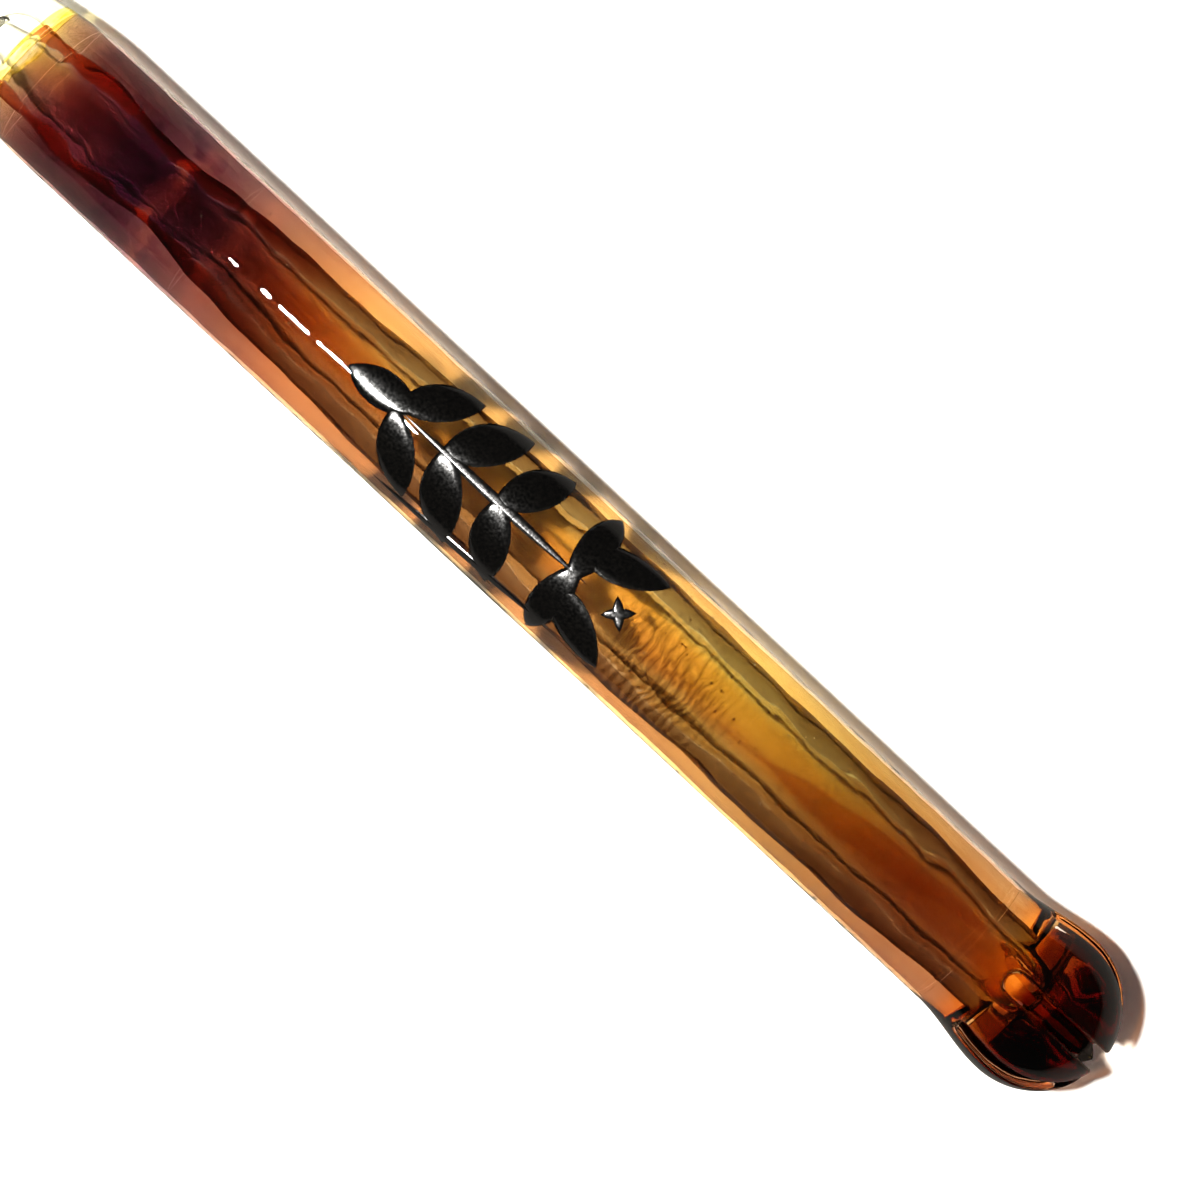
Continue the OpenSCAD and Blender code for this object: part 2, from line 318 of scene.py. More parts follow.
def bore_face(settings):
    """The wall of the hollow: colour glass worked by breath and gravity, so never even."""
    material, tree, output = new_material("blown_bore_wall")
    place = Place(tree)
    # close ripples across the golden stretch, as the torch left them
    warp = place.clouds(0.25, 0.3, detail=2.0)
    even = add(tree, "MULTIPLY", (place.station, 2 * math.pi / settings.ripple_pitch))
    phase = add(tree, "MULTIPLY_ADD", (warp, 22.0, even))
    ripples = add(tree, "MULTIPLY_ADD", (add(tree, "SINE", (phase,)), 0.5, 0.5))
    flank = add(tree, "ShaderNodeMapRange", {
        "Value": place.across, "From Min": 2.6, "From Max": -0.6, "To Min": 0.3, "To Max": 1.0}).outputs[0]
    golden = add(tree, "MULTIPLY", (place.between(43.5, 54.0, 3.0), flank))
    shallow = add(tree, "MULTIPLY", (ripples, add(tree, "MULTIPLY_ADD", (golden, 0.45, 0.08))))
    swirl = place.clouds(0.5, 0.5, detail=3.0, distortion=0.8)
    height = add(tree, "MULTIPLY_ADD", (swirl, 1.2, shallow))
    normal = add(tree, "ShaderNodeBump", {
        "Strength": 1.0, "Distance": settings.ripple_height, "Height": height}).outputs[0]
    # the lens-shaped streak of redder glass near the bulb: |angle| < width that swells and closes
    streak = lens_streak(tree, place)
    colour = add(tree, "ShaderNodeMix", {
        AMOUNT: streak, COLOUR: tint_along(tree, place, BORE_STOPS),
        OTHER: linear("#EACCBC")}, **TINT).outputs[BLENDED]
    # rings where the dark gathers were joined, with thinner and redder glass
    for ring, wide, much in ((106.3, 0.45, 0.85), (112.9, 0.35, 0.4), (99.6, 0.5, 0.3)):
        wander = add(tree, "MULTIPLY_ADD", (place.clouds(0.05, 0.45, detail=3.0), 2.4, -1.2 - ring))
        off = add(tree, "ABSOLUTE", (add(tree, "ADD", (place.station, wander)),))
        near = add(tree, "ShaderNodeMapRange", {
            "Value": off, "From Min": wide, "From Max": wide + 0.4,
            "To Min": much, "To Max": 0.0}).outputs[0]
        colour = add(tree, "ShaderNodeMix", {
            AMOUNT: near, COLOUR: colour, OTHER: linear("#F4C0B4")}, **BLEND).outputs[BLENDED]
    # darker amber bands drawn along the ripples of the golden stretch, strongest towards -Y
    ripple_bands = add(tree, "MULTIPLY", (ripples, golden))
    colour = add(tree, "ShaderNodeMix", {
        AMOUNT: add(tree, "MULTIPLY", (ripple_bands, 0.6)), COLOUR: colour,
        OTHER: linear("#A88C64")}, **TINT).outputs[BLENDED]
    # dark specks of burnt colour
    specks = add(tree, "ShaderNodeTexVoronoi", {
        "Vector": place.vector(0.8, 0.8), "Scale": 1.0}, feature="F1").outputs["Distance"]
    speck = add(tree, "MULTIPLY", (add(tree, "LESS_THAN", (specks, 0.09)), place.between(38.0, 56.0, 4.0)))
    colour = add(tree, "ShaderNodeMix", {
        AMOUNT: speck, COLOUR: colour, OTHER: linear("#7A4A28")}, **TINT).outputs[BLENDED]
    shade = add(tree, "ShaderNodeGamma", {"Color": colour, "Gamma": 0.55}).outputs[0]
    glass_face(tree, output, slanted(tree, place, colour), normal, shade=shade)
    return material


def lens_streak(tree, place):
    """1 inside a long pointed streak on the upper wall, between stations 14 and 41."""
    along = add(tree, "ShaderNodeMapRange", {
        "Value": place.station, "From Min": 14.0, "From Max": 41.0}).outputs[0]
    swell = add(tree, "SINE", (add(tree, "MULTIPLY", (along, math.pi)),))
    middle = add(tree, "MULTIPLY_ADD", (along, -2.2, 1.4))
    off = add(tree, "ABSOLUTE", (add(tree, "SUBTRACT", (place.across, middle)),))
    wavy = add(tree, "MULTIPLY_ADD", (place.clouds(0.2, 0.2), 1.2, -0.6))
    width = add(tree, "MULTIPLY_ADD", (swell, 1.3, wavy))
    inside = add(tree, "ShaderNodeMapRange", {
        "Value": add(tree, "SUBTRACT", (width, off)), "From Min": 0.0, "From Max": 0.25}).outputs[0]
    upper = add(tree, "GREATER_THAN", (place.up, 0.0))
    return add(tree, "MULTIPLY", (inside, upper))


def slot_face(settings):
    """The sawn slot walls after the flame: glassy, with faint saw lines left across them."""
    material, tree, output = new_material("flame_polished_saw_cut")
    place = Place(tree)
    lines = add(tree, "ShaderNodeTexNoise", {
        "Vector": place.vector(2.4, 0.5), "Scale": 1.0, "Detail": 2.0}).outputs[0]
    normal = add(tree, "ShaderNodeBump", {
        "Strength": 0.6, "Distance": settings.pull_height, "Height": lines}).outputs[0]
    glass_face(tree, output, linear("#E6D2C4"), normal, shade=linear("#F4ECE4"))
    return material


def seam_glass(settings):
    """Fumed yellow-green glass at the weld, denser in drops round the ring."""
    material, tree, output = new_material("fumed_yellow_green_glass")
    place = Place(tree)
    drops = place.clouds(0.9, 0.5, detail=2.0)
    colour = add(tree, "ShaderNodeValToRGB", (drops,), stops=(
        (0.3, linear("#F8F6DC")), (0.55, linear("#EEE6A8")), (0.75, linear("#C4B860")))).outputs[0]
    normal = add(tree, "ShaderNodeBump", {
        "Strength": 0.6, "Distance": settings.pull_height, "Height": drops}).outputs[0]
    glass_face(tree, output, colour, normal, shade=linear("#B4AE90"))
    return material


def seam_layer(_settings):
    """The yellow-green tint on the weld's inside faces."""
    material, tree, output = new_material("yellow_green_weld")
    place = Place(tree)
    colour = add(tree, "ShaderNodeValToRGB", (place.clouds(0.9, 0.35, detail=2.0),), stops=(
        (0.3, linear("#FFFFF6")), (0.6, linear("#F6F2D0")), (0.8, linear("#E4DDA0")))).outputs[0]
    see_through(tree, output, colour)
    return material


def fired_enamel(_settings):
    """Black glass enamel screen printed and fired on: glossy, a little raised, fine orange peel."""
    material, tree, output = new_material("fired_black_enamel")
    place = Place(tree)
    grain = place.clouds(4.0, 4.0, detail=3.0)
    shade = add(tree, "ShaderNodeValToRGB", (grain,), stops=(
        (0.35, linear("#020202")), (0.7, linear("#080706")))).outputs[0]
    gloss = add(tree, "ShaderNodeMapRange", {
        "Value": grain, "From Min": 0.3, "From Max": 0.7, "To Min": 0.1, "To Max": 0.22}).outputs[0]
    normal = add(tree, "ShaderNodeBump", {
        "Strength": 0.35, "Distance": 0.02 * MM, "Height": grain}).outputs[0]
    shader = add(tree, "ShaderNodeBsdfPrincipled", {
        "Base Color": shade, "Roughness": gloss, "IOR": 1.5, "Normal": normal})
    tree.links.new(shader.outputs[0], output.inputs["Surface"])
    return material


def trapped_air(_settings):
    """Seeds: air bubbles sealed in the glass, so the light bends the other way."""
    material, tree, output = new_material("trapped_air_seed")
    glass_face(tree, output, linear("#FFFFFF"), ior=1 / GLASS_IOR)
    return material


def mirror_ray(tree):
    """1 for light seen in a mirror-like face, and 0 for light seen through a glass one."""
    path = add(tree, "ShaderNodeLightPath").outputs
    not_through = add(tree, "SUBTRACT", (1.0, path["Is Transmission Ray"]))
    return add(tree, "MULTIPLY", (path["Is Glossy Ray"], not_through))


def pale_ground(settings):
    """Plain matt white board, mirrored only weakly so the glass isn't veiled by it."""
    material, tree, output = new_material("matt_white_board")
    mirrored = mirror_ray(tree)
    colour = add(tree, "ShaderNodeMix", {
        AMOUNT: mirrored, COLOUR: tuple(settings.ground_colour) + (1.0,),
        OTHER: linear("#5C5A58")}, **TINT).outputs[BLENDED]
    shader = add(tree, "ShaderNodeBsdfPrincipled", {"Base Color": colour, "Roughness": 0.9})
    tree.links.new(shader.outputs[0], output.inputs["Surface"])
    return material


MAKERS = {
    "clear": polished_borosilicate, "weld": welded_face, "layer": colour_layer, "bore": bore_face,
    "slot": slot_face, "seam": seam_glass, "seam_layer": seam_layer, "print": fired_enamel,
    "air": trapped_air, "ground": pale_ground,
}
made_materials = {}


def finish_of(key):
    """The material for a kind of face, made the first time it is asked for."""
    if key not in made_materials:
        made_materials[key] = MAKERS[key](bpy.context.scene.glass_pen)
    return made_materials[key]


# ---- outlines, as in part.scad ----
def ease(a, b, t):
    return a + (b - a) * (1 - math.cos(math.pi * t)) / 2


def spread(start, end, step):
    """Evenly spaced numbers from start to end, about a step apart."""
    count = max(1, round(abs(end - start) / step))
    return [start + (end - start) * i / count for i in range(count + 1)]


def dome(radius, pole, rim, count=24, blunt=1.0):
    """Outline points of a quarter ellipse, or of a blunter end, from the axis at the pole to the
    rim's station."""
    turns = [math.pi / 2 * i / count for i in range(count + 1)]
    return [(rim + (pole - rim) * max(math.cos(a), 0.0) ** blunt, radius * math.sin(a) ** blunt)
            for a in turns]


def bulb_radius(station, skin=0.0, end_r=BARREL_R):
    """The bulb's radius behind its widest place."""
    return ease(BULB_R - skin, end_r, (station - BULB_R) / (BULB_LENGTH - BULB_R))


def slim_radius(station):
    """The glass's radius from the tube to the grip's waist."""
    t = (station - SLIM_START) / (WAIST - SLIM_START)
    return ease(BARREL_R, WAIST_R, min(max(t, 0.0), 1.0))


def _hollow_line(station):
    for (s0, r0), (s1, r1) in zip(HOLLOW, HOLLOW[1:]):
        if station <= s1:
            return r0 + (r1 - r0) * max(station - s0, 0) / (s1 - s0)
    return HOLLOW[-1][1]


def hollow_radius(station):
    """The hollow's radius, with the corners between measured stations smoothed out."""
    near = [-2.0, -1.0, 0.0, 1.0, 2.0]
    return sum(_hollow_line(station + d) for d in near) / len(near)


def bore_waver(station, angle):
    """How far the hand-worked bore stands off its mean radius."""
    around = Vector((math.cos(angle), math.sin(angle), 0))
    slow = noise.noise(Vector((station / 9, 0, 0)) + around * 0.9)
    quick = noise.noise(Vector((station / 3.2, 7, 0)) + around * 1.4)
    dark = min(max((station - 92) / 10, 0.0), 1.0) * min(max((124 - station) / 3, 0.0), 1.0)
    keep = min(max((station - 12) / 4, 0.0), 1.0)  # still at the bulb, so its slots stay even
    return keep * (slow * (0.22 + 0.2 * dark) + quick * (0.07 + 0.16 * dark))


def skin_waver(station, angle):
    """The slight wander of the outside, from working the tube in the flame."""
    around = Vector((math.cos(angle), math.sin(angle), 0))
    return 0.05 * noise.noise(Vector((station / 14, 3, 0)) + around * 0.5)


def no_waver(_station, _angle):
    return 0.0


# ---- mesh helpers ----
def spot(station, radius, angle):
    """A point in metres from its station, its radius and its angle from the top towards +Y."""
    return Vector((TIP - station, radius * math.sin(angle), AXIS_Z + radius * math.cos(angle))) * MM


def mesh_object(name, points, faces, finishes, face_finish=None):
    """A piece from points and faces, closed, facing out and smooth but for its real edges."""
    mesh = bpy.data.meshes.new(name)
    mesh.from_pydata(points, [], faces)
    for key in finishes:
        mesh.materials.append(finish_of(key))
    if face_finish is not None:
        mesh.polygons.foreach_set("material_index", face_finish)
    shell = bmesh.new()
    shell.from_mesh(mesh)
    bmesh.ops.remove_doubles(shell, verts=shell.verts, dist=1e-4 * MM)
    bmesh.ops.recalc_face_normals(shell, faces=shell.faces)
    shell.to_mesh(mesh)
    shell.free()
    smooth(mesh)
    piece = bpy.data.objects.new(name, mesh)
    bpy.context.scene.collection.objects.link(piece)
    return piece


def smooth(mesh, angle=35):
    mesh.polygons.foreach_set("use_smooth", [True] * len(mesh.polygons))
    mesh.set_sharp_from_angle(angle=math.radians(angle))


def turned(name, walls, around=128):
    """A turned piece. Each wall is (finish, outline points, waver), and the walls follow one
    another round the section, back to the start or from axis to axis."""
    outline, finishes, strip = [], [], []
    for key, points, waver in walls:
        if key not in finishes:
            finishes.append(key)
        for i, (station, radius) in enumerate(points):
            if outline and i == 0 and math.dist(outline[-1][:2], (station, radius)) < 1e-6:
                continue
            if outline:
                strip.append(finishes.index(key))
            outline.append((station, radius, waver))
    closed = outline[0][1] > 0
    if closed and math.dist(outline[0][:2], outline[-1][:2]) < 1e-6:
        outline.pop()
    angles = [2 * math.pi * k / around for k in range(around)]
    points = [spot(s, r + (waver(s, a) if r > 0 else 0), a) for s, r, waver in outline for a in angles]
    faces, face_finish = [], []
    for i in range(len(outline) if closed else len(outline) - 1):
        here, there = i * around, (i + 1) % len(outline) * around
        for k in range(around):
            turn = (k + 1) % around
            faces.append((here + k, here + turn, there + turn, there + k))
            face_finish.append(strip[i])
    return mesh_object(name, points, faces, finishes, face_finish)


def placed(piece, node):
    """Sets a finished piece on the frame, in place of its CAD node."""
    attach(piece, "root")
    if node:
        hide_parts(node)
    return piece


def plain_mesh(carrier, name):
    """The evaluated shape of an object as a plain piece, and the object itself removed."""
    bpy.context.view_layer.update()
    graph = bpy.context.evaluated_depsgraph_get()
    mesh = bpy.data.meshes.new_from_object(carrier.evaluated_get(graph), depsgraph=graph)
    bpy.data.objects.remove(carrier)
    mesh.name = name
    piece = bpy.data.objects.new(name, mesh)
    bpy.context.scene.collection.objects.link(piece)
    return piece


# ---- the bulb's slots ----
def meridian(arc):
    """Where an arc length over the bulb from its tip ends: the foot of the outward normal on the
    axis, the normal along the pen and away from the axis, and the length of the normal."""
    quarter = BULB_R * math.pi / 2
    if arc <= quarter:
        angle = arc / BULB_R
        return BULB_R, -math.cos(angle), math.sin(angle), BULB_R
    station = BULB_R + arc - quarter
    radius = bulb_radius(station)
    slope = (bulb_radius(station + 0.01) - bulb_radius(station - 0.01)) / 0.02
    long = math.hypot(1, slope)
    return station + radius * slope, -slope / long, 1 / long, radius * long


def slot_cutter(angle, lip, depth, grow=0.0):
    """A closed cutter for one slot, following the bulb's surface. Its walls open in a round lip
    at the surface, and its floor rises from the tip to the hollow."""
    half = SLOT_WIDTH / 2
    back = BULB_R * math.pi / 2 + SLOT_LENGTH - BULB_R - half
    front = -0.9

    def outline(widen):
        r = half + widen + grow
        side = spread(front, back, 0.4)
        ends = [math.pi * k / 12 for k in range(1, 12)]
        return ([(a, -r) for a in side] + [(back + r * math.sin(e), -r * math.cos(e)) for e in ends]
                + [(a, r) for a in reversed(side)]
                + [(front - r * math.sin(e), r * math.cos(e)) for e in ends])

    def floor(arc):
        return -ease(depth, depth + 3.7, min(max(arc / 7.5, 0.0), 1.0)) - grow

    layers = [(floor, 0.0, -0.3), (floor, 0.12, -0.12), (floor, 0.35, 0.0)]
    layers += [(None, -lip + lip * math.sin(math.radians(a)), lip * (1 - math.cos(math.radians(a))))
               for a in (0, 17, 34, 51, 66)]
    layers.append((None, 0.55, lip * (1 - math.cos(math.radians(66))) + 0.6 * math.tan(math.radians(66))))
    points = []
    for low, lift, widen in layers:
        for arc, y in outline(widen):
            foot, along, away, length = meridian(arc)
            height = length + lift + (low(arc) if low else 0.0)
            out = math.sqrt(max(height * height - y * y, 0.04))
            x, across, up = foot + along * out, y, away * out
            turn_y = across * math.cos(angle) + up * math.sin(angle)
            turn_z = up * math.cos(angle) - across * math.sin(angle)
            points.append(Vector((TIP - x, turn_y, AXIS_Z + turn_z)) * MM)
    ring = len(outline(0.0))
    faces = [(i * ring + k, i * ring + (k + 1) % ring, (i + 1) * ring + (k + 1) % ring, (i + 1) * ring + k)
             for i in range(len(layers) - 1) for k in range(ring)]
    side = (ring - 22) // 2
    for base in (0, (len(layers) - 1) * ring):  # floor and lid, as strips across the slot
        near = [base + k for k in range(side)]
        far = [base + side + 11 + side - 1 - k for k in range(side)]
        faces += [(near[k], near[k + 1], far[k + 1], far[k]) for k in range(side - 1)]
        faces.append([near[-1]] + [base + side + k for k in range(11)] + [far[-1]])
        faces.append([far[0]] + [base + ring - 11 + k for k in range(11)] + [near[0]])
    return points, faces


def carve_slots(body, name, key, lip, grow=0.0):
    """Cuts the five slots out of a solid of the bulb."""
    cutters = []
    for number, degrees in enumerate(SLOT_ANGLES):
        depth = 1.3 + 0.06 * number  # no two saw cuts end at quite the same depth
        points, faces = slot_cutter(math.radians(degrees), lip, depth, grow)
        cutter = mesh_object(f"cutter_{number}", points, faces, [key])
        cutters.append(cutter)
        cut = body.modifiers.new(cutter.name, "BOOLEAN")
        cut.operation, cut.solver, cut.object = "DIFFERENCE", "MANIFOLD", cutter
        cut.material_mode = "TRANSFER"
    piece = plain_mesh(body, name)
    for cutter in cutters:
        bpy.data.objects.remove(cutter)
    shell = bmesh.new()
    shell.from_mesh(piece.data)
    bmesh.ops.remove_doubles(shell, verts=shell.verts, dist=2e-3 * MM)
    bmesh.ops.dissolve_degenerate(shell, edges=shell.edges, dist=2e-3 * MM)
    shell.to_mesh(piece.data)
    shell.free()
    smooth(piece.data, 40)
    return piece


# ---- settings ----
class GlassPenSettings(bpy.types.PropertyGroup):
    """What a user would change about the pen's looks."""

    clear_colour: bpy.props.FloatVectorProperty(
        name="Clear glass", description="Tint of the clear glass at each face", size=3,
        subtype="COLOR", min=0, max=1, default=linear("#FBFAF5")[:3])
    ground_colour: bpy.props.FloatVectorProperty(
        name="Ground", description="Colour of the board that the pen lies on", size=3,
        subtype="COLOR", min=0, max=1, default=linear("#F4F3F1")[:3])
    folds: bpy.props.FloatProperty(
        name="Colour folds", description="How strongly the colour gathers in long folds",
        subtype="FACTOR", min=0, max=1, default=0.3)
    pull_height: bpy.props.FloatProperty(
        name="Pull height", description="Height of the faint pulls along the outside",
        unit="LENGTH", min=0, max=0.2 * MM, default=0.02 * MM)
    ripple_pitch: bpy.props.FloatProperty(
        name="Ripple pitch", description="Distance between the bore's ripples, in millimetres",
        min=0.3, max=3, default=0.8)
    ripple_height: bpy.props.FloatProperty(
        name="Ripple height", description="Height of the bore's ripples",
        unit="LENGTH", min=0, max=0.2 * MM, default=0.05 * MM)
    lip_radius: bpy.props.FloatProperty(
        name="Slot lip", description="Radius of the flame-rounded lip of each slot, in millimetres",
        min=0.1, max=0.6, default=0.35)
    seed_count: bpy.props.IntProperty(
        name="Seeds", description="Number of air seeds in the wall", min=0, max=400, default=90)
    seed_radius: bpy.props.FloatProperty(
        name="Largest seed", description="Radius of the largest air seed",
        unit="LENGTH", min=0, max=0.5 * MM, default=0.14 * MM)
    ridges: bpy.props.IntProperty(
        name="Nib ridges", description="Ridges round the nib", min=4, max=12, default=8)
    groove: bpy.props.FloatProperty(
        name="Groove depth", description="Depth of the ink grooves, as a share of the radius",
        subtype="FACTOR", min=0, max=0.4, default=0.24)
    nib_turns: bpy.props.FloatProperty(
        name="Nib turns", description="Turns that the ridges make along the nib",
        min=0, max=2, default=0.8)


# ---- operators ----
class GLASSPEN_OT_stage(bpy.types.Operator):
    """Ground, lights and camera"""

    bl_idname = "glass_pen.stage"
    bl_label = "Stage"

    def execute(self, context):
        scene = context.scene
        reach = 3.0  # half the board's side
        corners = [(x * reach, y * reach, 0) for x, y in ((-1, -1), (1, -1), (1, 1), (-1, 1))]
        ground = bpy.data.meshes.new("ground")
        ground.from_pydata(corners, [], [(0, 1, 2, 3)])
        ground.materials.append(finish_of("ground"))
        board = bpy.data.objects.new("ground", ground)
        scene.collection.objects.link(board)
        board.location.z = -0.02 * MM

        # looking straight down at the barrel's rear half, with the pen from corner to corner
        turn = math.radians(43)
        camera = bpy.data.cameras.new("camera")
        camera.sensor_width, camera.lens, camera.clip_start = 36, 120, 0.01
        width = 100.25 * MM  # what the frame takes in across the pen's axis
        eye = bpy.data.objects.new("camera", camera)
        eye.location = ((TIP - 56.9) * MM, -0.18 * MM,
                        AXIS_Z * MM + width * camera.lens / camera.sensor_width)
        eye.rotation_euler = (0, 0, turn)
        scene.collection.objects.link(eye)
        scene.camera = eye

        # a small key lamp above the nib's end, a wide fill, and an even pale surround that the
        # glossy faces don't mirror, so dark glass and print stay dark
        aim = Vector((eye.location.x, 0, 0))
        for name, size, power, where in (
            ("key", 0.024, 3.7, Vector(((TIP - 119.5) * MM, -0.05, 0.36))),
            ("fill", 0.7, 0.1, Vector((aim.x, 0.25, 0.6))),
        ):
            lamp = bpy.data.lights.new(name, "AREA")
            lamp.shape, lamp.size, lamp.energy = "DISK", size, power
            lamp.color = linear("#FFFDF8")[:3]
            holder = bpy.data.objects.new(name, lamp)
            holder.location = where
            holder.rotation_euler = (aim - where).to_track_quat("-Z", "Y").to_euler()
            holder.visible_transmission = name != "key"  # its own way through glass is the tint
            holder.visible_glossy = name == "key"
            scene.collection.objects.link(holder)
        world = bpy.data.worlds.new("surround")
        world.use_nodes = True
        tree = world.node_tree
        mirrored = mirror_ray(tree)
        lit = add(tree, "MULTIPLY_ADD", (mirrored, -0.03, 0.06))
        seen = add(tree, "ShaderNodeLightPath").outputs["Is Camera Ray"]
        strength = add(tree, "MAXIMUM", (lit, add(tree, "MULTIPLY", (seen, 0.85))))
        tree.links.new(strength, tree.nodes["Background"].inputs["Strength"])
        tree.nodes["Background"].inputs["Color"].default_value = linear("#FFFFFF")
        scene.world = world
        scene.view_settings.view_transform = "Standard"
        # light crosses many welded faces, which would otherwise go black
        cycles = scene.cycles
        cycles.max_bounces, cycles.transmission_bounces, cycles.glossy_bounces = 20, 16, 6
        cycles.transparent_max_bounces = 40
        cycles.caustics_reflective = False  # sparkle on the ground that would only be noise
        return {"FINISHED"}


class GLASSPEN_OT_barrel(bpy.types.Operator):
    """Clear casing with its amber, dark and brick red linings"""

    bl_idname = "glass_pen.barrel"
    bl_label = "Barrel"

    def execute(self, context):
        start, end = BULB_LENGTH + WELD_GAP, SEAM_START - WELD_GAP
        outside = [(s, slim_radius(s)) for s in spread(start, end, 0.8)]
        casing = turned("barrel_casing_glass", [
            ("clear", outside, skin_waver),
            ("weld", [outside[-1], (end, LINING_R)], no_waver),
            ("weld", [(s, LINING_R) for s in spread(end, start, 2.0)], no_waver),
            ("weld", [(start, LINING_R), outside[0]], no_waver)], 160)
        placed(casing, "barrel_casing")
        for node, s0, s1, slot in (
            ("amber_lining", BULB_LENGTH, AMBER_END, "amber_glass"),
            ("dark_lining", AMBER_END, DARK_END, "maroon_glass"),
            ("red_band", DARK_END, SEAM_START, "red_glass"),
        ):
            s0, s1 = s0 + WELD_GAP, s1 - WELD_GAP
            outer = LINING_R - 2 * WELD_GAP
            bore = [(s, hollow_radius(s)) for s in spread(s1, s0, 0.4)]
            lining = turned(node + "_glass", [
                ("layer", [(s, outer) for s in spread(s0, s1, 1.0)], no_waver),
                ("weld", [(s1, outer), bore[0]], no_waver),
                ("bore", bore, bore_waver),
                ("weld", [bore[-1], (s0, outer)], no_waver)], 128)
            placed(lining, node)
        return {"FINISHED"}


class GLASSPEN_OT_bulb(bpy.types.Operator):
    """Slotted bulb: clear skin over dark glass"""

    bl_idname = "glass_pen.bulb"
    bl_label = "Bulb"

    def execute(self, context):
        lip = context.scene.glass_pen.lip_radius
        end = BULB_LENGTH - WELD_GAP
        back, rim = HOLLOW[0]
        neck = spread(BULB_R, end, 0.35)

        def hollow(gap):
            straight = [(s, hollow_radius(s) + gap) for s in spread(end, back, 0.4)]
            return straight + [(s, r) for s, r in reversed(
                dome(straight[-1][1], BULB_BACK - gap, back, blunt=0.6))]

        outside = dome(BULB_R, 0, BULB_R, 40) + [(s, bulb_radius(s)) for s in neck[1:]]
        solid = turned("bulb_solid", [
            ("clear", outside, no_waver),
            ("weld", [outside[-1], hollow(0)[0]], no_waver),
            ("bore", hollow(0), bore_waver)], 160)
        placed(carve_slots(solid, "bulb_skin_glass", "slot", lip), "bulb_skin")

        gap = 0.06  # the dark glass stops just short of the faces that meet the air
        inside = dome(BULB_R - SKIN, SKIN, BULB_R, 40) + [
            (s, bulb_radius(s, SKIN, LINING_R - 2 * WELD_GAP)) for s in neck[1:]]
        solid = turned("gather_solid", [
            ("layer", inside, no_waver),
            ("weld", [inside[-1], hollow(gap)[0]], no_waver),
            ("weld", hollow(gap), bore_waver)], 160)
        placed(carve_slots(solid, "bulb_gather_glass", "layer", lip, gap), "bulb_gather")
        return {"FINISHED"}


class GLASSPEN_OT_grip(bpy.types.Operator):
    """Yellow-green seam ring, clear grip and the collar bead"""

    bl_idname = "glass_pen.grip"
    bl_label = "Seam, grip and collar"

    def execute(self, context):
        s0, s1 = SEAM_START + WELD_GAP, SEAM_END - WELD_GAP
        outside = [(s, slim_radius(s)) for s in spread(s0, s1, 0.2)]
        bore = [(s, hollow_radius(s)) for s in spread(s1, s0, 0.2)]
        ring = turned("seam_ring_glass", [
            ("seam", outside, skin_waver),
            ("seam_layer", [outside[-1], bore[0]], no_waver),
            ("bore", bore, bore_waver),
            ("seam_layer", [bore[-1], outside[0]], no_waver)])
        placed(ring, "seam_ring")

        s0, s1 = SEAM_END + WELD_GAP, GRIP_END - WELD_GAP
        outside = [(s, slim_radius(s)) for s in spread(s0, WAIST, 0.4)]
        outside += [(s, ease(WAIST_R, SWELL_R, (s - WAIST) / (SWELL - WAIST)))
                    for s in spread(WAIST, SWELL, 0.4)[1:]]
        outside += [(s, ease(SWELL_R, NECK_R, (s - SWELL) / (s1 - SWELL)))
                    for s in spread(SWELL, s1, 0.3)[1:]]
        closed = [(s, r) for s, r in dome(hollow_radius(s0), HOLLOW_FRONT, s0)]
        grip = turned("grip_glass", [
            ("weld", [(s1, 0.0), (s1, NECK_R)], no_waver),
            ("clear", list(reversed(outside)), skin_waver),
            ("weld", [outside[0], closed[-1]], no_waver),
            ("clear", list(reversed(closed)), bore_waver)])
        placed(grip, "grip")

        s0, s1, neck = GRIP_END + WELD_GAP, COLLAR_END - WELD_GAP, 3.1
        bead = [((s0 + s1) / 2 - (s1 - s0) / 2 * math.cos(math.pi * k / 32),
                 neck + (COLLAR_R - neck) * math.sin(math.pi * k / 32)) for k in range(33)]
        collar = turned("collar_glass", [
            ("weld", [(s0, 0.0), bead[0]], no_waver), ("clear", bead, no_waver),
            ("weld", [bead[-1], (s1, 0.0)], no_waver)])
        placed(collar, "collar")
        return {"FINISHED"}


def open_tree(name, **inputs):
    """A Geometry Nodes tree with named inputs of the given types: the tree, its inputs' identifiers
    by name, and their sockets inside it."""
    tree = bpy.data.node_groups.new(name, "GeometryNodeTree")
    sockets = {}
    for label, kind in inputs.items():
        socket = tree.interface.new_socket(label, in_out="INPUT", socket_type="NodeSocket" + kind)
        sockets[label] = socket.identifier
    tree.interface.new_socket("Geometry", in_out="OUTPUT", socket_type="NodeSocketGeometry")
    return tree, sockets, add(tree, "NodeGroupInput").outputs


def close_tree(tree, geometry, material):
    """Ends a tree with its instances made real and its material set."""
    realized = add(tree, "GeometryNodeRealizeInstances", {"Geometry": geometry})
    done = add(tree, "GeometryNodeSetMaterial", {"Geometry": realized.outputs[0], "Material": material})
    add(tree, "NodeGroupOutput", (done.outputs[0],))


